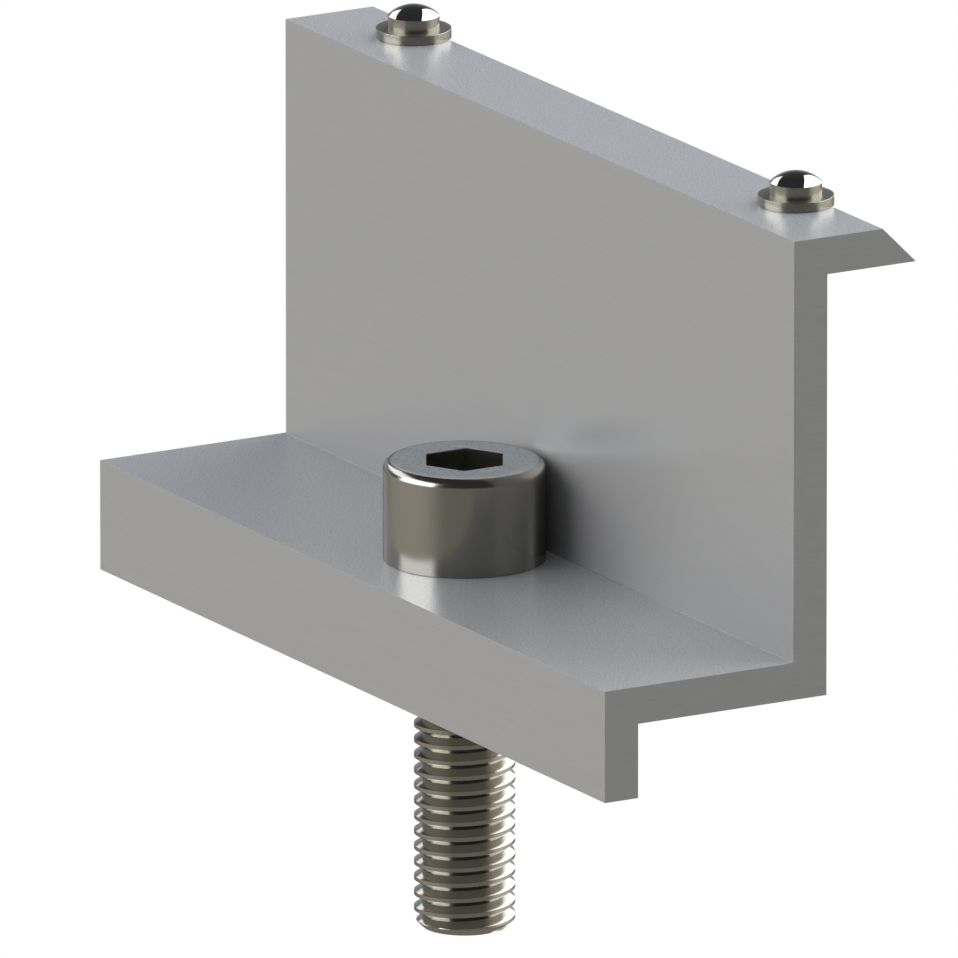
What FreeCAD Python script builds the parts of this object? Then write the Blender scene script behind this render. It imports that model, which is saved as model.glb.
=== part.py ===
import FreeCAD, Part
import math
import os

from FreeCAD import Vector

# End clamp for the outer edge of a row of framed solar modules, sizes in millimetres.
# The origin is where the screw's axis crosses the plane of the foot, which stands on the rail.
# +X runs along the extrusion, +Y from the leg towards the module, and +Z up from the rail.

# Extruded clamp body
clamp_length = 80.0
leg_thickness = 3.0
shelf_thickness = 3.0
web_thickness = 3.0
lip_thickness = 3.0
leg_standoff = 6.0          # from the foot up to the shelf's underside
module_frame_height = 40.0  # from the foot up to the lip's underside
lip_grip = 8.0              # how far the lip's tip reaches over the module frame
lip_bevel_angle = 45.0      # slope of the lip's front end, from the horizontal
screw_to_leg_front = 10.4
edge_radius = 0.03          # outer edges of the extrusion, which are crisp
inner_radius = 0.05         # inner corners of the extrusion

# Socket head cap screw
thread_diameter = 8.0
thread_pitch = 1.25
screw_length = 30.0         # below the head
head_diameter = 12.9
head_height = 8.0
head_rim_radius = 0.75      # round between the head's side and its top
head_base_chamfer = 0.15    # between the head's side and its bearing face
under_head_radius = 0.4     # fillet between the neck and the bearing face
socket_across_flats = 6.0
socket_depth = 4.4
socket_point_angle = 120.0  # the drill point left in the socket's floor
end_chamfer = 0.64
bare_neck_length = 3.75     # unthreaded, at the thread's pitch diameter
pitch_diameter_drop = 0.6495  # thread diameter less pitch diameter, in thread pitches

# Earthing pins pressed through the lip
pin_to_end = 10.0           # from each sawn end to the pin's axis
pin_to_web = 3.0            # from the web's back face to the pins' axes
pin_shank_diameter = 3.0
pin_collar_diameter = 6.0
pin_collar_height = 0.8
pin_head_diameter = 4.1
pin_head_height = 1.0       # straight side, between the collar and the dome
pin_dome_height = 0.85
pin_point_diameter = 2.0
pin_point_height = 0.75     # how far the point bites below the lip
pin_edge_chamfer = 0.1      # around the top of the collar

# Clearances
head_to_web_gap = 0.15      # between the screw's head and the web, so that the screw turns
screw_hole_clearance = 0.5  # radial, around the screw's thread
hole_deburr = 0.2           # small chamfer on both mouths of the screw's hole

# Places worked out from the sizes above
leg_front = -screw_to_leg_front
leg_back = leg_front + leg_thickness
web_front = head_diameter / 2 + head_to_web_gap
web_back = web_front + web_thickness
lip_tip = web_back + lip_grip
lip_top_edge = lip_tip - lip_thickness / math.tan(math.radians(lip_bevel_angle))
shelf_top = leg_standoff + shelf_thickness
lip_top = module_frame_height + lip_thickness
pin_row = web_back + pin_to_web


def corner_turn(before, corner, after):
    """Start, middle and end of the arc that rounds a corner, which are one point if its radius is 0."""
    point = Vector(0, corner[0], corner[1])
    radius = corner[2]
    if radius == 0:
        return point, point, point
    back = (Vector(0, before[0], before[1]) - point).normalize()
    ahead = (Vector(0, after[0], after[1]) - point).normalize()
    half_angle = back.getAngle(ahead) / 2
    setback = radius / math.tan(half_angle)
    inwards = (back + ahead).normalize()
    middle = point + inwards * (radius / math.sin(half_angle) - radius)
    return point + back * setback, middle, point + ahead * setback


def rounded_edges(corners, closed):
    """Lines through the corners (y, z, radius) in the plane X = 0, with an arc of its radius at each."""
    count = len(corners)
    turns = [corner_turn(corners[i - 1], corners[i], corners[(i + 1) % count]) for i in range(count)]
    edges = []
    for i, (start, middle, end) in enumerate(turns):
        if start != end:
            edges.append(Part.Arc(start, middle, end).toShape())
        if closed or i < count - 1:
            edges.append(Part.LineSegment(end, turns[(i + 1) % count][0]).toShape())
    return edges


def revolved(edges):
    """The solid that a closed half section sweeps round the Z axis."""
    section = Part.Face(Part.Wire(edges))
    return section.revolve(Vector(0, 0, 0), Vector(0, 0, 1), 360)


def extrusion_profile():
    """Z-shaped section with a leg that stands on the rail and a bevelled lip over the module frame."""
    return rounded_edges(
        [
            (leg_front, 0, edge_radius),
            (leg_back, 0, edge_radius),
            (leg_back, leg_standoff, inner_radius),
            (web_back, leg_standoff, edge_radius),
            (web_back, module_frame_height, inner_radius),
            (lip_tip, module_frame_height, edge_radius),
            (lip_top_edge, lip_top, edge_radius),
            (web_front, lip_top, edge_radius),
            (web_front, shelf_top, inner_radius),
            (leg_front, shelf_top, edge_radius),
        ],
        closed=True,
    )


def screw_hole():
    """Tool for the clearance hole through the shelf, with both of its mouths deburred."""
    radius = thread_diameter / 2 + screw_hole_clearance
    wide = radius + hole_deburr
    low = leg_standoff
    high = shelf_top
    hole = Part.makeCylinder(radius, high - low, Vector(0, 0, low))
    low_mouth = Part.makeCone(wide, radius, hole_deburr, Vector(0, 0, low))
    high_mouth = Part.makeCone(radius, wide, hole_deburr, Vector(0, 0, high - hole_deburr))
    return hole.fuse([low_mouth, high_mouth])


def pin_places():
    """The two pins' places along the clamp, left and right as the installer sees them."""
    reach = clamp_length / 2 - pin_to_end
    return {"left": -reach, "right": reach}


def clamp_body():
    """The sawn length of extrusion, drilled for the screw and for the two earthing pins."""
    profile = Part.Face(Part.Wire(extrusion_profile()))
    bar = profile.extrude(Vector(clamp_length, 0, 0))
    bar.translate(Vector(-clamp_length / 2, 0, 0))
    holes = [screw_hole()]
    for x in pin_places().values():
        start = Vector(x, pin_row, module_frame_height)
        holes.append(Part.makeCylinder(pin_shank_diameter / 2, lip_thickness, start))
    return bar.cut(holes)


def screw_blank():
    """Head, bare neck and thread cylinder turned in one, before the socket is formed."""
    head = head_diameter / 2
    thread = thread_diameter / 2
    neck = thread - pitch_diameter_drop * thread_pitch / 2
    neck_end = shelf_top - bare_neck_length
    tip = shelf_top - screw_length
    top = shelf_top + head_height
    outline = rounded_edges(
        [
            (0, tip, 0),
            (thread - end_chamfer, tip, 0),
            (thread, tip + end_chamfer, 0),
            (thread, neck_end, 0),
            (neck, neck_end, 0),
            (neck, shelf_top, under_head_radius),
            (head - head_base_chamfer, shelf_top, 0),
            (head, shelf_top + head_base_chamfer, 0),
            (head, top, head_rim_radius),
            (0, top, 0),
        ],
        closed=True,
    )
    return revolved(outline)


def hex_socket():
    """Tool for the socket: a hexagon with two flats square to X, and a drill point below it."""
    corner_radius = socket_across_flats / math.sqrt(3)
    top = shelf_top + head_height
    floor = top - socket_depth
    corners = []
    for side in range(6):
        angle = math.radians(30 + 60 * side)
        corners.append(Vector(corner_radius * math.cos(angle), corner_radius * math.sin(angle), floor))
    outline = Part.makePolygon(corners + corners[:1])
    hexagon = Part.Face(outline).extrude(Vector(0, 0, socket_depth))
    point_radius = socket_across_flats / 2
    point_depth = point_radius / math.tan(math.radians(socket_point_angle / 2))
    point = Part.makeCone(0, point_radius, point_depth, Vector(0, 0, floor - point_depth))
    return hexagon.fuse(point)


def cap_screw():
    """The screw, seated with its head on the shelf."""
    return screw_blank().cut(hex_socket())


def dome_edge(radius, rise, base_z):
    """Arc from a round's edge up to its crown on the Z axis."""
    ball_radius = (radius ** 2 + rise ** 2) / (2 * rise)
    centre_z = base_z + rise - ball_radius
    half_way = math.asin(radius / ball_radius) / 2
    edge = Vector(0, radius, base_z)
    middle = Vector(0, ball_radius * math.sin(half_way), centre_z + ball_radius * math.cos(half_way))
    crown = Vector(0, 0, base_z + rise)
    return Part.Arc(edge, middle, crown).toShape()


def earthing_pin(x):
    """Domed pin with a collar on top of the lip and a point that bites the module frame below it."""
    point = pin_point_diameter / 2
    shank = pin_shank_diameter / 2
    collar = pin_collar_diameter / 2
    head = pin_head_diameter / 2
    tip = module_frame_height - pin_point_height
    collar_top = lip_top + pin_collar_height
    dome_base = collar_top + pin_head_height
    crown = dome_base + pin_dome_height
    outline = rounded_edges(
        [
            (0, crown, 0),
            (0, tip, 0),
            (point, module_frame_height, 0),
            (shank, module_frame_height, 0),
            (shank, lip_top, 0),
            (collar, lip_top, 0),
            (collar, collar_top - pin_edge_chamfer, 0),
            (collar - pin_edge_chamfer, collar_top, 0),
            (head, collar_top, 0),
            (head, dome_base, 0),
        ],
        closed=False,
    )
    pin = revolved(outline + [dome_edge(head, pin_dome_height, dome_base)])
    pin.translate(Vector(x, pin_row, 0))
    return pin


nodes = {"clamp_body": clamp_body(), "cap_screw": cap_screw()}
for side_name, place in pin_places().items():
    nodes["earthing_pin_" + side_name] = earthing_pin(place)

os.makedirs("parts", exist_ok=True)
for node_name, solid in nodes.items():
    solid.exportStep(os.path.join("parts", node_name + ".step"))
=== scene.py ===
import math

import bmesh
import bpy
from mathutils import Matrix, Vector


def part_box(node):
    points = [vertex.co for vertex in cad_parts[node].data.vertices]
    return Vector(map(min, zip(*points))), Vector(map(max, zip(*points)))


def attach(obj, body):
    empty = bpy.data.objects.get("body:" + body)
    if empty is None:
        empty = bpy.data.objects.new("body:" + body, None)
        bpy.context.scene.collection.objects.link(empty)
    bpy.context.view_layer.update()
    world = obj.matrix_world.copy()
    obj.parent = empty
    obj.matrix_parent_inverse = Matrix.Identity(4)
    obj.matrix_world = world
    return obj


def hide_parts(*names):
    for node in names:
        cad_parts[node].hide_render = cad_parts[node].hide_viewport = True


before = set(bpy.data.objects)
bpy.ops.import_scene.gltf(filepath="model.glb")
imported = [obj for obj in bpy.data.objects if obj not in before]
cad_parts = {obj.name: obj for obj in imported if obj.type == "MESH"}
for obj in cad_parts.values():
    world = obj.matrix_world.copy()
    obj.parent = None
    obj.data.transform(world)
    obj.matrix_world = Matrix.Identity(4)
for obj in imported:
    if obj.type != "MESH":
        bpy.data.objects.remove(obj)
bpy.context.view_layer.update()

MM = 0.001

# Sizes and places of the pieces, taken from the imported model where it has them
body_low, body_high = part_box("clamp_body")
screw_low, screw_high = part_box("cap_screw")
pin_boxes = {side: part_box("earthing_pin_" + side) for side in ("left", "right")}

# Extruded clamp body
half_length = body_high.x
lip_thickness = 3 * MM
lip_top = body_high.z
lip_underside = lip_top - lip_thickness

# Socket head cap screw
screw_tip = screw_low.z
head_top = screw_high.z
head_radius = screw_high.x
head_height = 8 * MM
head_seat = head_top - head_height
head_rim_radius = 0.75 * MM
head_base_chamfer = 0.04 * MM
under_head_radius = 0.4 * MM
socket_across_flats = 6 * MM
socket_depth = 4.4 * MM
socket_point_angle = math.radians(120)
socket_edge_round = 0.06 * MM
socket_edge_points = ((2.0, 0.0), (1.4, 0.3), (0.0, 1.0))  # wider by and lower by, in edge rounds
socket_floor_share = 0.999            # of the flats' width, for the drill point's circle in the floor
point_chamfer = 0.64 * MM

# Rolled thread
thread_radius = 4 * MM
thread_pitch = 1.25 * MM
thread_crest_width = thread_pitch / 4
thread_flank_angle = math.radians(35)
thread_flank_width = (thread_pitch - thread_crest_width) / 2
thread_root_radius = thread_radius - thread_flank_width / math.tan(thread_flank_angle)
pitch_diameter_drop = 0.6495          # thread diameter less pitch diameter, in thread pitches
neck_radius = thread_radius - pitch_diameter_drop * thread_pitch / 2
bare_neck_length = 3.75 * MM
neck_end = head_seat - bare_neck_length
run_out = 1.4 * thread_pitch          # over which the thread fades into the neck
first_crest = -2.871 * MM             # a crest's height where the thread passes over +X
spare_below_tip = 1.5 * thread_pitch  # wound past both ends of the thread, and cut off again
spare_above_neck = thread_pitch

# Earthing pins
pin_shank_radius = 1.5 * MM
pin_head_radius = 2.05 * MM
pin_collar_height = 0.8 * MM
pin_head_height = 1.0 * MM
pin_dome_height = 0.85 * MM
pin_point_radius = 1.0 * MM
pin_point_height = 0.75 * MM
pin_edge_round = 0.03 * MM
pin_foot_chamfer = pin_edge_round / 2
pin_collar_top = lip_top + pin_collar_height
pin_dome_base = pin_collar_top + pin_head_height

# Mesh resolution
columns = 96                          # round the screw and the pins, a multiple of 12 for the hexagon
rows_per_pitch = 24                   # a multiple of 8, so that rows lie on the crest's edges
fillet_steps = 6
rim_steps = 14
dome_steps = 20
collar_edge_steps = 4
head_top_rings = (0.8, 0.66)          # shares of the head's radius, which keep its top face's triangles short
weld_distance = 0.001 * MM
cut_tolerance = 0.0001 * MM
sharp_edge_angle = math.radians(32)


def arc(centre_radius, centre_height, radius, start, end, steps):
    """Radius and height of points along an arc of the half section, angles in degrees from outwards to up."""
    points = []
    for step in range(steps + 1):
        angle = math.radians(start + (end - start) * step / steps)
        points.append((centre_radius + radius * math.cos(angle), centre_height + radius * math.sin(angle)))
    return points


def round_ring(radius, height):
    """One circle of the turned piece's points, or its pole if the radius is nought."""
    if radius == 0:
        return [Vector((0, 0, height))]
    turns = [2 * math.pi * column / columns for column in range(columns)]
    return [Vector((radius * math.cos(turn), radius * math.sin(turn), height)) for turn in turns]


def hexagon_ring(across_flats, height):
    """The hexagon's outline, with corners towards +Y and every 60 degrees from there."""
    points = []
    for column in range(columns):
        turn = 2 * math.pi * column / columns
        from_flat = (turn + math.pi / 6) % (math.pi / 3) - math.pi / 6
        radius = across_flats / 2 / math.cos(from_flat)
        points.append(Vector((radius * math.cos(turn), radius * math.sin(turn), height)))
    return points


def skin_rings(mesh, rings):
    """Faces between neighbouring rings, listed from the bottom of the outside round to its other end."""
    placed = [[mesh.verts.new(point) for point in ring] for ring in rings]
    for lower, upper in zip(placed, placed[1:]):
        for column in range(columns):
            after = (column + 1) % columns
            if len(lower) == 1:
                corners = (lower[0], upper[after], upper[column])
            elif len(upper) == 1:
                corners = (lower[column], lower[after], upper[0])
            else:
                corners = (lower[column], lower[after], upper[after], upper[column])
            mesh.faces.new(corners)


def finished_piece(name, mesh, material):
    """The object for a built mesh, which is smooth except across its sharp edges."""
    data = bpy.data.meshes.new(name)
    mesh.to_mesh(data)
    mesh.free()
    data.materials.clear()                # which puts every face in the first slot
    data.materials.append(material)
    data.shade_smooth()
    data.set_sharp_from_angle(angle=sharp_edge_angle)
    piece = bpy.data.objects.new(name, data)
    bpy.context.scene.collection.objects.link(piece)
    return piece


# Node tree helpers
class NodeWork:
    """Short ways to place and wire the nodes of one tree."""

    def __init__(self, tree):
        self.tree = tree

    def add(self, kind, inputs=None, **settings):
        """A node with its settings, and with values or other nodes' outputs for its inputs."""
        node = self.tree.nodes.new(kind)
        for setting, value in settings.items():
            setattr(node, setting, value)
        for socket, value in (inputs or {}).items():
            self.feed(node.inputs[socket], value)
        return node

    def feed(self, socket, value):
        """Links an output to the socket, or sets the socket to a plain value."""
        if isinstance(value, bpy.types.NodeSocket):
            self.tree.links.new(value, socket)
        else:
            socket.default_value = value

    def math(self, operation, first, second=0.0, third=0.0):
        """The result of one sum or comparison of plain values or other nodes' outputs."""
        node = self.add("ShaderNodeMath", operation=operation)
        for socket, value in zip(node.inputs, (first, second, third)):
            self.feed(socket, value)
        return node.outputs[0]

    def mix_colour(self, share, first, second):
        """From the first colour to the second as the share goes from 0 to 1."""
        node = self.add("ShaderNodeMix", data_type="RGBA")
        self.feed(node.inputs[0], share)
        self.feed(node.inputs[6], first)
        self.feed(node.inputs[7], second)
        return node.outputs[2]

    def mix_value(self, share, first, second):
        """From the first value to the second as the share goes from 0 to 1."""
        return self.add("ShaderNodeMix", {0: share, 2: first, 3: second}, data_type="FLOAT").outputs[0]

    def ramp(self, value, low, high, result_low=0.0, result_high=1.0):
        """Smooth step of the value between two limits, from one result to the other."""
        node = self.add("ShaderNodeMapRange", interpolation_type="SMOOTHSTEP")
        for socket, given in zip(node.inputs, (value, low, high, result_low, result_high)):
            self.feed(socket, given)
        return node.outputs[0]


def new_group(name, inputs, outputs):
    """A shader node group with its sockets, and the helper and end nodes to fill it with."""
    tree = bpy.data.node_groups.new(name, "ShaderNodeTree")
    for socket, kind, value in inputs:
        made = tree.interface.new_socket(name=socket, in_out="INPUT", socket_type=kind)
        if value is not None:
            made.default_value = value
    for socket, kind in outputs:
        tree.interface.new_socket(name=socket, in_out="OUTPUT", socket_type=kind)
    work = NodeWork(tree)
    return tree, work, work.add("NodeGroupInput"), work.add("NodeGroupOutput")


def use_group(work, group, **inputs):
    """The group's node in another tree, with its inputs given by name."""
    node = work.add("ShaderNodeGroup", node_tree=group)
    for socket, value in inputs.items():
        work.feed(node.inputs[socket.replace("_", " ")], value)
    return node


# Rolled thread, which follows a helix
def rolled_thread_tree():
    """Geometry nodes that lay one pitch of thread section along a right-hand helix about Z."""
    tree = bpy.data.node_groups.new("rolled_thread", "GeometryNodeTree")
    sockets = [
        ("Thread Radius", "NodeSocketFloat"),
        ("Root Radius", "NodeSocketFloat"),
        ("Neck Radius", "NodeSocketFloat"),
        ("Pitch", "NodeSocketFloat"),
        ("Crest Width", "NodeSocketFloat"),
        ("Flank Angle", "NodeSocketFloat"),
        ("Lowest Root", "NodeSocketFloat"),
        ("Turns", "NodeSocketFloat"),
        ("Run Out Top", "NodeSocketFloat"),
        ("Run Out", "NodeSocketFloat"),
        ("Points Along", "NodeSocketInt"),
        ("Points Across", "NodeSocketInt"),
        ("Weld Distance", "NodeSocketFloat"),
        ("Material", "NodeSocketMaterial"),
    ]
    for name, kind in sockets:
        tree.interface.new_socket(name=name, in_out="INPUT", socket_type=kind)
    tree.interface.new_socket(name="Geometry", in_out="OUTPUT", socket_type="NodeSocketGeometry")
    work = NodeWork(tree)
    given = work.add("NodeGroupInput").outputs
    result = work.add("NodeGroupOutput")

    # A flat strip, 1 by 1: its X becomes the way along the helix and its Y the way across one pitch
    strip = work.add(
        "GeometryNodeMeshGrid",
        {
            "Size X": 1.0,
            "Size Y": 1.0,
            "Vertices X": given["Points Along"],
            "Vertices Y": given["Points Across"],
        },
    )
    place = work.add("ShaderNodeSeparateXYZ", {"Vector": work.add("GeometryNodeInputPosition").outputs[0]})
    along = work.math("MULTIPLY", work.math("ADD", place.outputs["X"], 0.5), given["Turns"])
    from_crest = work.math("MULTIPLY", place.outputs["Y"], given["Pitch"])
    across = work.math("ADD", place.outputs["Y"], 0.5)
    height = work.math(
        "MULTIPLY_ADD", work.math("ADD", along, across), given["Pitch"], given["Lowest Root"]
    )

    # The section's radius: crest, flank and root, which fade into the neck at the top
    past_crest = work.math(
        "SUBTRACT", work.math("ABSOLUTE", from_crest), work.math("MULTIPLY", given["Crest Width"], 0.5)
    )
    drop = work.math("DIVIDE", past_crest, work.math("TANGENT", given["Flank Angle"]))
    flank = work.math("SUBTRACT", given["Thread Radius"], drop)
    below_crest = work.math("MINIMUM", flank, given["Thread Radius"])
    section = work.math("MAXIMUM", below_crest, given["Root Radius"])
    below_top = work.math("SUBTRACT", given["Run Out Top"], height)
    full = work.ramp(work.math("DIVIDE", below_top, given["Run Out"]), 0.0, 1.0)
    depth = work.math("SUBTRACT", section, given["Neck Radius"])
    radius = work.math("MULTIPLY_ADD", depth, full, given["Neck Radius"])

    # The strip wound round Z, its turns welded together
    turn = work.math("MULTIPLY", along, 2 * math.pi)
    point = work.add(
        "ShaderNodeCombineXYZ",
        {
            "X": work.math("MULTIPLY", radius, work.math("COSINE", turn)),
            "Y": work.math("MULTIPLY", radius, work.math("SINE", turn)),
            "Z": height,
        },
    )
    wound = work.add(
        "GeometryNodeSetPosition", {"Geometry": strip.outputs["Mesh"], "Position": point.outputs[0]}
    )
    welded = work.add(
        "GeometryNodeMergeByDistance", {"Geometry": wound.outputs[0], "Distance": given["Weld Distance"]}
    )
    real = work.add("GeometryNodeRealizeInstances", {"Geometry": welded.outputs[0]})
    painted = work.add(
        "GeometryNodeSetMaterial", {"Geometry": real.outputs[0], "Material": given["Material"]}
    )
    tree.links.new(painted.outputs[0], result.inputs[0])
    return tree


def wound_thread(material):
    """The thread's surface as a plain mesh, longer at both ends than the screw."""
    low = screw_tip - spare_below_tip
    high = neck_end + spare_above_neck
    to_root = thread_pitch / 2
    turns_down = math.ceil((first_crest - to_root - low) / thread_pitch)
    lowest_root = first_crest - to_root - turns_down * thread_pitch
    turns = math.ceil((high - lowest_root) / thread_pitch)
    values = {
        "Thread Radius": thread_radius,
        "Root Radius": thread_root_radius,
        "Neck Radius": neck_radius,
        "Pitch": thread_pitch,
        "Crest Width": thread_crest_width,
        "Flank Angle": thread_flank_angle,
        "Lowest Root": lowest_root,
        "Turns": float(turns),
        "Run Out Top": neck_end,
        "Run Out": run_out,
        "Points Along": turns * columns + 1,
        "Points Across": rows_per_pitch + 1,
        "Weld Distance": weld_distance,
        "Material": material,
    }
    carrier = bpy.data.objects.new("thread_carrier", bpy.data.meshes.new("thread_carrier"))
    bpy.context.scene.collection.objects.link(carrier)
    tree = rolled_thread_tree()
    modifier = carrier.modifiers.new("rolled_thread", "NODES")
    modifier.node_group = tree
    for socket in tree.interface.items_tree:
        if socket.in_out == "INPUT":
            modifier[socket.identifier] = values[socket.name]
    bpy.context.view_layer.update()
    evaluated = carrier.evaluated_get(bpy.context.evaluated_depsgraph_get())
    data = bpy.data.meshes.new_from_object(evaluated)
    carrier.modifiers.remove(modifier)
    bpy.data.objects.remove(carrier)
    return data


def cut_level(mesh, height, discard=None):
    """Cuts the open shell at a height, discards what is "above" or "below" it and returns the cut's edges."""
    cut = bmesh.ops.bisect_plane(
        mesh,
        geom=mesh.verts[:] + mesh.edges[:] + mesh.faces[:],
        dist=cut_tolerance,
        plane_co=(0, 0, height),
        plane_no=(0, 0, -1 if discard == "below" else 1),
        clear_outer=discard is not None,
    )
    return [item for item in cut["geom_cut"] if isinstance(item, bmesh.types.BMEdge)]


def chamfer_point(mesh):
    """Draws the thread in to a chamfer of 45 degrees round the screw's tip, and closes its flat end."""
    chamfer_top = screw_tip + point_chamfer
    cut_level(mesh, chamfer_top)
    for vert in mesh.verts:
        allowed = thread_radius - max(0.0, chamfer_top - vert.co.z)
        reach = vert.co.xy.length
        if reach > allowed:
            vert.co.x *= allowed / reach
            vert.co.y *= allowed / reach
    end_edges = cut_level(mesh, screw_tip, discard="below")
    bmesh.ops.edgeloop_fill(mesh, edges=end_edges)


def head_rings():
    """Rings from the top of the neck out round the head, and down its socket to the drill point."""
    fillet_centre = (neck_radius + under_head_radius, head_seat - under_head_radius)
    rim_centre = (head_radius - head_rim_radius, head_top - head_rim_radius)
    outline = arc(*fillet_centre, under_head_radius, 180, 90, fillet_steps)
    outline.append((head_radius - head_base_chamfer, head_seat))
    outline.append((head_radius, head_seat + head_base_chamfer))
    outline += arc(*rim_centre, head_rim_radius, 0, 90, rim_steps)
    outline += [(share * head_radius, head_top) for share in head_top_rings]
    rings = [round_ring(*point) for point in outline]

    socket_floor = head_top - socket_depth
    point_depth = socket_across_flats / 2 / math.tan(socket_point_angle / 2)
    for wider, lower in socket_edge_points:
        across = socket_across_flats + wider * socket_edge_round
        rings.append(hexagon_ring(across, head_top - lower * socket_edge_round))
    rings.append(hexagon_ring(socket_across_flats, socket_floor))
    rings.append(round_ring(socket_floor_share * socket_across_flats / 2, socket_floor))
    rings.append(round_ring(0, socket_floor - point_depth))
    return rings


def cap_screw_piece(material):
    """Socket head cap screw with its true hexagon, drill point, fillets and wound thread."""
    mesh = bmesh.new()
    mesh.from_mesh(wound_thread(material))
    cut_level(mesh, neck_end, discard="above")
    chamfer_point(mesh)
    skin_rings(mesh, head_rings())

    # The bare neck, from the top of the thread to the foot of the head's fillet
    open_edges = [edge for edge in mesh.edges if edge.is_boundary]
    bmesh.ops.bridge_loops(mesh, edges=open_edges)
    bmesh.ops.recalc_face_normals(mesh, faces=mesh.faces)
    return finished_piece("socket_head_cap_screw", mesh, material)


def earthing_pin_piece(side, material):
    """Turned pin with a collar on the lip, a domed head and a point below the lip."""
    low, high = pin_boxes[side]
    axis = (low + high) / 2
    collar_radius = (high.x - low.x) / 2
    ball_radius = (pin_head_radius ** 2 + pin_dome_height ** 2) / (2 * pin_dome_height)
    ball_centre = pin_dome_base + pin_dome_height - ball_radius
    dome_start = math.degrees(math.acos(pin_head_radius / ball_radius))
    outline = [
        (0, lip_underside - pin_point_height),
        (pin_point_radius, lip_underside),
        (pin_shank_radius, lip_underside),
        (pin_shank_radius, lip_top),
        (collar_radius - pin_foot_chamfer, lip_top),
        (collar_radius, lip_top + pin_foot_chamfer),
    ]
    edge_centre = (collar_radius - pin_edge_round, pin_collar_top - pin_edge_round)
    outline += arc(*edge_centre, pin_edge_round, 0, 90, collar_edge_steps)
    outline.append((pin_head_radius, pin_collar_top))
    outline += arc(0, ball_centre, ball_radius, dome_start, 90, dome_steps)
    outline[-1] = (0, pin_dome_base + pin_dome_height)  # the arc's end, exactly on the axis
    mesh = bmesh.new()
    skin_rings(mesh, [round_ring(*point) for point in outline])
    bmesh.ops.translate(mesh, verts=mesh.verts, vec=(axis.x, axis.y, 0))
    bmesh.ops.recalc_face_normals(mesh, faces=mesh.faces)
    return finished_piece("turned_earthing_pin_" + side, mesh, material)


# Finishes
level_limit = 0.98                    # a face is level if its normal rises more than this


def fine_grain_group():
    """Fine irregular grain, as a height, as a soft mask and as a mask of hard specks, both from 0 to 1."""
    noise_range = 0.32, 0.68
    speck_range = 0.3, 0.7
    tree, work, given, result = new_group(
        "fine_grain",
        [
            ("Vector", "NodeSocketVector", None),
            ("Grain Size", "NodeSocketFloat", 0.1 * MM),
            ("Stretch", "NodeSocketVector", (1.0, 1.0, 1.0)),
        ],
        [("Height", "NodeSocketFloat"), ("Mask", "NodeSocketFloat"), ("Specks", "NodeSocketFloat")],
    )
    stretched = work.add(
        "ShaderNodeVectorMath",
        {0: given.outputs["Vector"], 1: given.outputs["Stretch"]},
        operation="DIVIDE",
    )
    scale = work.math("DIVIDE", 1.0, given.outputs["Grain Size"])
    noise = work.add(
        "ShaderNodeTexNoise",
        {"Vector": stretched.outputs[0], "Scale": scale, "Detail": 3.0, "Roughness": 0.55},
    )
    mask = work.ramp(noise.outputs[0], *noise_range)
    tree.links.new(noise.outputs[0], result.inputs["Height"])
    tree.links.new(mask, result.inputs["Mask"])
    tree.links.new(work.ramp(mask, *speck_range), result.inputs["Specks"])
    return tree


def turned_relief_group():
    """Height of turned steel: faint rings round the Z axis, with some of the grain's height on top."""
    tree, work, given, result = new_group(
        "turned_relief",
        [
            ("Vector", "NodeSocketVector", None),
            ("Line Spacing", "NodeSocketFloat", 0.05 * MM),
            ("Grain", "NodeSocketFloat", 0.0),
            ("Grain Share", "NodeSocketFloat", 0.6),
        ],
        [("Height", "NodeSocketFloat")],
    )
    place = work.add("ShaderNodeSeparateXYZ", {"Vector": given.outputs["Vector"]})
    scale = work.math("DIVIDE", 1.0, given.outputs["Line Spacing"])
    rings = work.add(
        "ShaderNodeTexNoise",
        {"W": place.outputs["Z"], "Scale": scale, "Detail": 4.0, "Roughness": 0.7},
        noise_dimensions="1D",
    )
    height = work.math("MULTIPLY_ADD", given.outputs["Grain"], given.outputs["Grain Share"], rings.outputs[0])
    tree.links.new(height, result.inputs["Height"])
    return tree


def level_face_group():
    """Mask of the faces that lie level and look up, which is 1 on them and 0 elsewhere."""
    tree, work, given, result = new_group(
        "level_face",
        [("Normal", "NodeSocketVector", None), ("Limit", "NodeSocketFloat", level_limit)],
        [("Mask", "NodeSocketFloat")],
    )
    facing = work.add("ShaderNodeSeparateXYZ", {"Vector": given.outputs["Normal"]})
    level = work.math("GREATER_THAN", facing.outputs["Z"], given.outputs["Limit"])
    tree.links.new(level, result.inputs["Mask"])
    return tree


def new_finish(name, metallic):
    """A material with its surface shader, and the object coordinates and normals that its nodes vary by."""
    material = bpy.data.materials.new(name)
    material.use_nodes = True
    work = NodeWork(material.node_tree)
    shader = material.node_tree.nodes["Principled BSDF"]
    shader.inputs["Metallic"].default_value = metallic
    place = work.add("ShaderNodeTexCoord").outputs["Object"]
    normal = work.add("ShaderNodeNewGeometry").outputs["Normal"]
    return material, work, shader, place, normal


def add_relief(work, shader, height, strength, depth):
    """Gives the surface a bump from a height that varies by about 1, which stands for the depth."""
    bump = work.add("ShaderNodeBump", {"Strength": strength, "Distance": depth, "Height": height})
    work.feed(shader.inputs["Normal"], bump.outputs[0])


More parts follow.
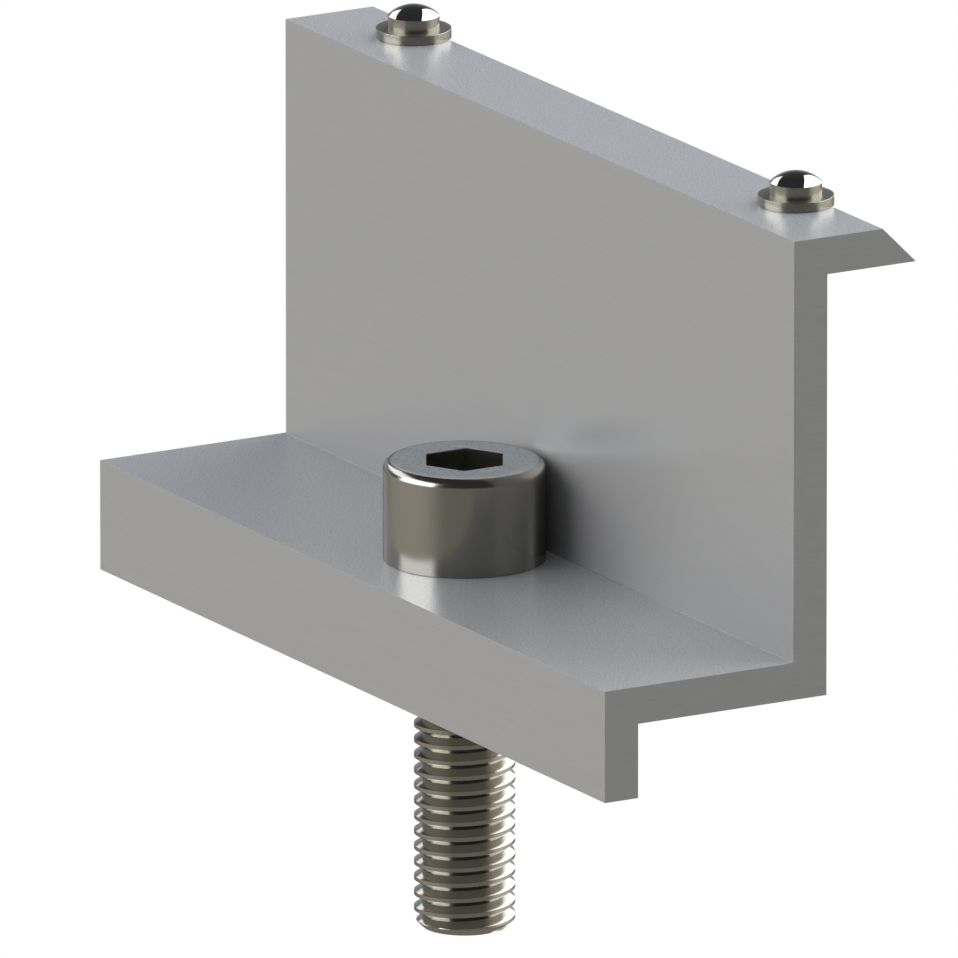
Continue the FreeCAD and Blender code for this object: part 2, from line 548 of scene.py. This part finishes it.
def extruded_aluminium(grain, level_face):
    """Satin aluminium with fine die lines along X and saw marks on its ends, painted light on its ends and,
    bluish in specks, on its level faces, painted shade on its small front rounds and a darker painted shade
    where it is mirrored.
    """
    long_tones = (0.311, 0.311, 0.315, 1), (0.325, 0.325, 0.329, 1)
    # The sawn ends keep their saw marks, in a tone set lighter as painted light for how light falls on them
    sawn_end_and_light_tones = (0.335, 0.335, 0.34, 1), (0.36, 0.36, 0.365, 1)
    # Painted light: the level faces are bluish and lighter, for the light from above, in specks
    painted_top_light_tones = (0.33, 0.335, 0.355, 1), (0.455, 0.46, 0.475, 1)
    # Painted shade on the small front rounds
    painted_shade_round_tone = (0.24, 0.24, 0.245, 1)
    # Painted shade for the aluminium as it is seen in reflections
    mirrored_shade_tone = (0.02, 0.02, 0.02, 1)
    mirrored_share = 0.47
    roughness_range = 0.285, 0.315
    die_line_share = 0.25              # of the die lines' height, against the fine grain's
    end_layer = 0.02 * MM              # nearer to an end than this, a point is on the sawn face
    upright_limit = 0.05               # a face is upright if its normal rises less than this
    material, work, shader, place, normal = new_finish("satin_aluminium", metallic=0.25)
    shader.inputs["IOR"].default_value = 1.9
    shader.inputs["Coat Weight"].default_value = 0.5
    shader.inputs["Coat Roughness"].default_value = 0.26

    fine = use_group(work, grain, Vector=place, Grain_Size=0.09 * MM)
    drawn = use_group(work, grain, Vector=place, Grain_Size=0.12 * MM, Stretch=(60.0, 1.0, 1.0))
    sawn = use_group(work, grain, Vector=place, Grain_Size=0.10 * MM, Stretch=(1.0, 25.0, 1.0))
    specks = use_group(work, grain, Vector=place, Grain_Size=0.17 * MM)
    level = use_group(work, level_face, Normal=normal)
    spot = work.add("ShaderNodeSeparateXYZ", {"Vector": place})
    facing = work.add("ShaderNodeSeparateXYZ", {"Vector": normal})
    at_end = work.math("GREATER_THAN", work.math("ABSOLUTE", spot.outputs["X"]), half_length - end_layer)

    long_colour = work.mix_colour(drawn.outputs["Mask"], *long_tones)
    # Sawn ends: saw marks, in a tone set lighter as painted light
    sawn_end_and_light_colour = work.mix_colour(sawn.outputs["Mask"], *sawn_end_and_light_tones)
    # Painted bluish light from above on the level faces, in specks
    painted_top_light_colour = work.mix_colour(specks.outputs["Specks"], *painted_top_light_tones)
    colour = work.mix_colour(at_end, long_colour, sawn_end_and_light_colour)
    colour = work.mix_colour(level.outputs["Mask"], colour, painted_top_light_colour)

    # Painted shade: the small rounds that face forwards and up, the front edges' and the inner corner's, get
    # a darker tone that hides their highlight lines
    faces_forwards = work.math("LESS_THAN", facing.outputs["Y"], -upright_limit)
    faces_up = work.math("GREATER_THAN", facing.outputs["Z"], upright_limit)
    slopes = work.math("LESS_THAN", facing.outputs["Z"], level_limit)
    painted_shade_round = work.math("MULTIPLY", faces_forwards, work.math("MULTIPLY", faces_up, slopes))
    colour = work.mix_colour(painted_shade_round, colour, painted_shade_round_tone)

    # Painted shade in reflections: the steel mirrors it darker than the camera sees it
    is_mirrored = work.add("ShaderNodeLightPath").outputs["Is Glossy Ray"]
    mirrored = work.math("MULTIPLY", is_mirrored, mirrored_share)
    work.feed(shader.inputs["Base Color"], work.mix_colour(mirrored, colour, mirrored_shade_tone))

    work.feed(shader.inputs["Roughness"], work.ramp(fine.outputs["Mask"], 0.0, 1.0, *roughness_range))
    long_height = work.math("MULTIPLY_ADD", drawn.outputs["Height"], die_line_share, fine.outputs["Height"])
    end_height = work.math("ADD", sawn.outputs["Height"], fine.outputs["Height"])
    height = work.mix_value(at_end, long_height, end_height)
    add_relief(work, shader, height, strength=0.12, depth=0.02 * MM)
    return material


def screw_steel(grain, level_face, turned_relief):
    """Stainless steel of the screw: a satin head with a grainy top face in a painted bluish top light, a
    smoother rolled thread.
    """
    side_tones = (0.495, 0.485, 0.44, 1), (0.515, 0.505, 0.46, 1)
    # Painted light: the head's top is bluish and lighter, for the light from above, in specks
    head_top_light_tones = (0.62, 0.69, 0.78, 1), (0.94, 1.0, 1.0, 1)
    side_roughness, top_roughness = 0.19, 0.26
    smoother_thread = 0.015            # taken off the roughness below the head
    top_layer = 0.02 * MM              # nearer to the head's top than this, a point is on it
    material, work, shader, place, normal = new_finish("screw_steel", metallic=1.0)
    fine = use_group(work, grain, Vector=place, Grain_Size=0.10 * MM)
    specks = use_group(work, grain, Vector=place, Grain_Size=0.15 * MM)
    level = use_group(work, level_face, Normal=normal)
    spot = work.add("ShaderNodeSeparateXYZ", {"Vector": place})
    at_top = work.math("GREATER_THAN", spot.outputs["Z"], head_top - top_layer)
    on_top = work.math("MULTIPLY", level.outputs["Mask"], at_top)
    on_thread = work.math("LESS_THAN", spot.outputs["Z"], head_seat - under_head_radius)

    side_colour = work.mix_colour(fine.outputs["Mask"], *side_tones)
    # Painted bluish light from above on the head's top face, in specks
    head_top_light_colour = work.mix_colour(specks.outputs["Specks"], *head_top_light_tones)
    work.feed(shader.inputs["Base Color"], work.mix_colour(on_top, side_colour, head_top_light_colour))
    rough = work.ramp(on_top, 0.0, 1.0, side_roughness, top_roughness)
    rough = work.math("MULTIPLY_ADD", on_thread, -smoother_thread, rough)
    work.feed(shader.inputs["Roughness"], rough)
    fine_height = fine.outputs["Height"]
    relief = use_group(work, turned_relief, Vector=place, Line_Spacing=0.06 * MM, Grain=fine_height)
    height = work.math("MULTIPLY", relief.outputs["Height"], work.math("SUBTRACT", 1.0, on_thread))
    add_relief(work, shader, height, strength=0.06, depth=0.01 * MM)
    return material


def pin_steel(grain, level_face, turned_relief):
    """Stainless steel of the pins: a polished dome, finely turned sides and a duller top of the collar."""
    dome_tones = (0.58, 0.57, 0.54, 1), (0.60, 0.59, 0.56, 1)
    side_tones = (0.34, 0.33, 0.28, 1), (0.50, 0.49, 0.44, 1)
    dome_roughness, side_roughness = 0.04, 0.23
    duller_collar_top = 0.15           # added to its roughness
    material, work, shader, place, normal = new_finish("pin_steel", metallic=1.0)
    fine = use_group(work, grain, Vector=place, Grain_Size=0.08 * MM)
    level = use_group(work, level_face, Normal=normal)
    spot = work.add("ShaderNodeSeparateXYZ", {"Vector": place})
    below_dome = work.math("LESS_THAN", spot.outputs["Z"], pin_dome_base)
    on_collar_top = work.math("MULTIPLY", below_dome, level.outputs["Mask"])

    dome_colour = work.mix_colour(fine.outputs["Mask"], *dome_tones)
    side_colour = work.mix_colour(fine.outputs["Mask"], *side_tones)
    work.feed(shader.inputs["Base Color"], work.mix_colour(below_dome, dome_colour, side_colour))
    rough = work.ramp(below_dome, 0.0, 1.0, dome_roughness, side_roughness)
    rough = work.math("MULTIPLY_ADD", on_collar_top, duller_collar_top, rough)
    work.feed(shader.inputs["Roughness"], rough)
    fine_height = fine.outputs["Height"]
    relief = use_group(work, turned_relief, Vector=place, Line_Spacing=0.05 * MM, Grain=fine_height)
    height = work.math("MULTIPLY", relief.outputs["Height"], below_dome)
    add_relief(work, shader, height, strength=0.05, depth=0.01 * MM)
    return material


# Studio, where a heading is a compass angle in degrees from +X to +Y
def heading(azimuth, elevation=0.0):
    """Unit vector towards a heading, and a height above the horizon in degrees."""
    turn, rise = math.radians(azimuth), math.radians(elevation)
    return Vector((math.cos(turn) * math.cos(rise), math.sin(turn) * math.cos(rise), math.sin(rise)))


def softbox(name, facing, first, last, base, top, radiance):
    """Upright rectangular light square to one heading, which the object sees between two others."""
    distance = 0.8                     # from the Z axis
    start = distance * math.tan(math.radians(first - facing))
    end = distance * math.tan(math.radians(last - facing))
    width, height = end - start, top - base
    light = bpy.data.lights.new(name, "AREA")
    light.shape = "RECTANGLE"
    light.size = width
    light.size_y = height
    light.energy = radiance * math.pi * width * height
    lamp = bpy.data.objects.new(name, light)
    bpy.context.scene.collection.objects.link(lamp)
    out = heading(facing)
    sideways = heading(facing + 90)
    lamp.location = out * distance + sideways * (start + end) / 2 + Vector((0, 0, (base + top) / 2))
    lamp.rotation_euler = out.to_track_quat("Z", "Y").to_euler()
    lamp.visible_camera = False


def studio_softboxes():
    """A tall light on the right, a low one on the left and a higher one behind it on the left."""
    softbox("right_softbox", facing=63, first=42, last=132, base=0.02, top=2.12, radiance=2.6)
    softbox("left_softbox", facing=255, first=228, last=286, base=0.0, top=0.72, radiance=2.8)
    softbox("left_rear_softbox", facing=215, first=171, last=228, base=0.32, top=0.80, radiance=1.6)


def studio_world():
    """White to the camera, a dim studio to what mirrors it, and a soft fill to what it lights."""
    white = (1, 1, 1, 1)
    dark_room = (0.035, 0.036, 0.038, 1)
    backdrop = (0.50, 0.54, 0.605, 1)
    floor_tones = (0.21, 0.20, 0.175, 1), (0.80, 0.76, 0.67, 1)
    near_floor = (0.25, 0.24, 0.21, 1)
    left_floor_light = 0.32            # against the light on the right of the floor
    low_fill = (0.20, 0.195, 0.18, 1)
    overhead_fill = (0.21, 0.22, 0.235, 1), (1.07, 1.09, 1.13, 1)
    left_rear_fill = (3.3, 3.27, 3.2, 1)
    headings = {"behind": 150, "right": 75, "left": 240, "left_rear": 212}

    # Where one part fades into the next, by the cosine of the angle from a heading
    behind_range = 0.3, 0.9
    right_range = 0.6, 1.0
    left_range = 0.4, 1.0
    left_rear_range = 0.8, 0.97

    # The same by height, where 0 is the horizon and 1 is straight up
    backdrop_height = 0.2
    near_floor_range = -0.25, -0.75
    horizon_range = -0.06, 0.06
    fill_horizon_range = -0.3, 0.1
    overhead_range = 0.1, 0.9

    world = bpy.data.worlds.new("studio")
    bpy.context.scene.world = world
    world.use_nodes = True
    work = NodeWork(world.node_tree)
    shader = world.node_tree.nodes["Background"]
    way = work.add("ShaderNodeTexCoord").outputs["Generated"]
    rise = work.add("ShaderNodeSeparateXYZ", {"Vector": way}).outputs["Z"]
    near = {}
    for side, azimuth in headings.items():
        towards = work.add("ShaderNodeVectorMath", {0: way, 1: heading(azimuth)}, operation="DOT_PRODUCT")
        near[side] = towards.outputs["Value"]

    # What the steel mirrors: a pale low backdrop in a dark room, and a warm floor that is lit on both sides
    low = work.math("EXPONENT", work.math("MULTIPLY", rise, -1 / backdrop_height))
    glow = work.math("MULTIPLY", low, work.ramp(near["behind"], *behind_range))
    above = work.mix_colour(glow, dark_room, backdrop)
    lit_right = work.ramp(near["right"], *right_range)
    lit_left = work.ramp(near["left"], *left_range, 0.0, left_floor_light)
    far_floor = work.mix_colour(work.math("MAXIMUM", lit_right, lit_left), *floor_tones)
    below = work.mix_colour(work.ramp(rise, *near_floor_range), far_floor, near_floor)
    room = work.mix_colour(work.ramp(rise, *horizon_range), below, above)

    # What lights the satin faces: a soft fill from overhead, and a stronger one from the left rear
    overhead = work.mix_colour(work.ramp(rise, *overhead_range), *overhead_fill)
    around = work.mix_colour(work.ramp(rise, *fill_horizon_range), low_fill, overhead)
    fill = work.mix_colour(work.ramp(near["left_rear"], *left_rear_range), around, left_rear_fill)

    path = work.add("ShaderNodeLightPath").outputs
    surroundings = work.mix_colour(path["Is Diffuse Ray"], room, fill)
    work.feed(shader.inputs["Color"], work.mix_colour(path["Is Camera Ray"], surroundings, white))


def studio_floor():
    """Pale floor well below the screw, which only the camera sees, and only from above."""
    reach = 3.0
    drop = 80 * MM
    height = screw_tip - drop
    mesh = bmesh.new()
    corners = [(-reach, -reach), (reach, -reach), (reach, reach), (-reach, reach)]
    mesh.faces.new([mesh.verts.new((x, y, height)) for x, y in corners])
    data = bpy.data.meshes.new("studio_floor")
    mesh.to_mesh(data)
    mesh.free()
    material = bpy.data.materials.new("pale_floor")
    material.use_nodes = True
    work = NodeWork(material.node_tree)
    nodes = material.node_tree.nodes
    nodes.remove(nodes["Principled BSDF"])
    white = work.add("ShaderNodeEmission", {"Color": (1, 1, 1, 1), "Strength": 1.0})
    clear = work.add("ShaderNodeBsdfTransparent")
    seen_from_below = work.add("ShaderNodeNewGeometry").outputs["Backfacing"]
    mix = work.add("ShaderNodeMixShader", {0: seen_from_below, 1: white.outputs[0], 2: clear.outputs[0]})
    material.node_tree.links.new(mix.outputs[0], nodes["Material Output"].inputs["Surface"])
    data.materials.append(material)
    floor = bpy.data.objects.new("studio_floor", data)
    bpy.context.scene.collection.objects.link(floor)
    floor.visible_glossy = False
    floor.visible_diffuse = False
    floor.visible_shadow = False


def photo_camera():
    """Camera at the photograph's angle, far away behind a very long lens, for a view without perspective."""
    azimuth, elevation = 60.076, 15.114  # degrees to the right of the clamp's front, and above the horizon
    aim = Vector((0.136, 1.233, 15.273)) * MM  # what the middle of the picture looks at
    distance = 3.3527
    data = bpy.data.cameras.new("photo_camera")
    data.lens = 1600
    data.sensor_width = 36
    data.clip_start = 0.1
    data.clip_end = 20
    camera = bpy.data.objects.new("photo_camera", data)
    bpy.context.scene.collection.objects.link(camera)
    back = heading(azimuth - 90, elevation)
    camera.location = aim + back * distance
    camera.rotation_mode = "QUATERNION"
    camera.rotation_quaternion = back.to_track_quat("Z", "Y")
    bpy.context.scene.camera = camera


grain = fine_grain_group()
level_face = level_face_group()
turned_relief = turned_relief_group()
aluminium = extruded_aluminium(grain, level_face)
steel = screw_steel(grain, level_face, turned_relief)
pin_finish = pin_steel(grain, level_face, turned_relief)

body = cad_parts["clamp_body"]
for material_slot in body.material_slots:
    material_slot.material = aluminium

screw = cap_screw_piece(steel)
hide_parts("cap_screw")
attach(screw, "screw")

for side in pin_boxes:
    pin = earthing_pin_piece(side, pin_finish)
    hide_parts("earthing_pin_" + side)
    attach(pin, "clamp")

studio_world()
studio_floor()
studio_softboxes()
photo_camera()
bpy.context.scene.view_settings.view_transform = "Standard"

bpy.context.view_layer.update()
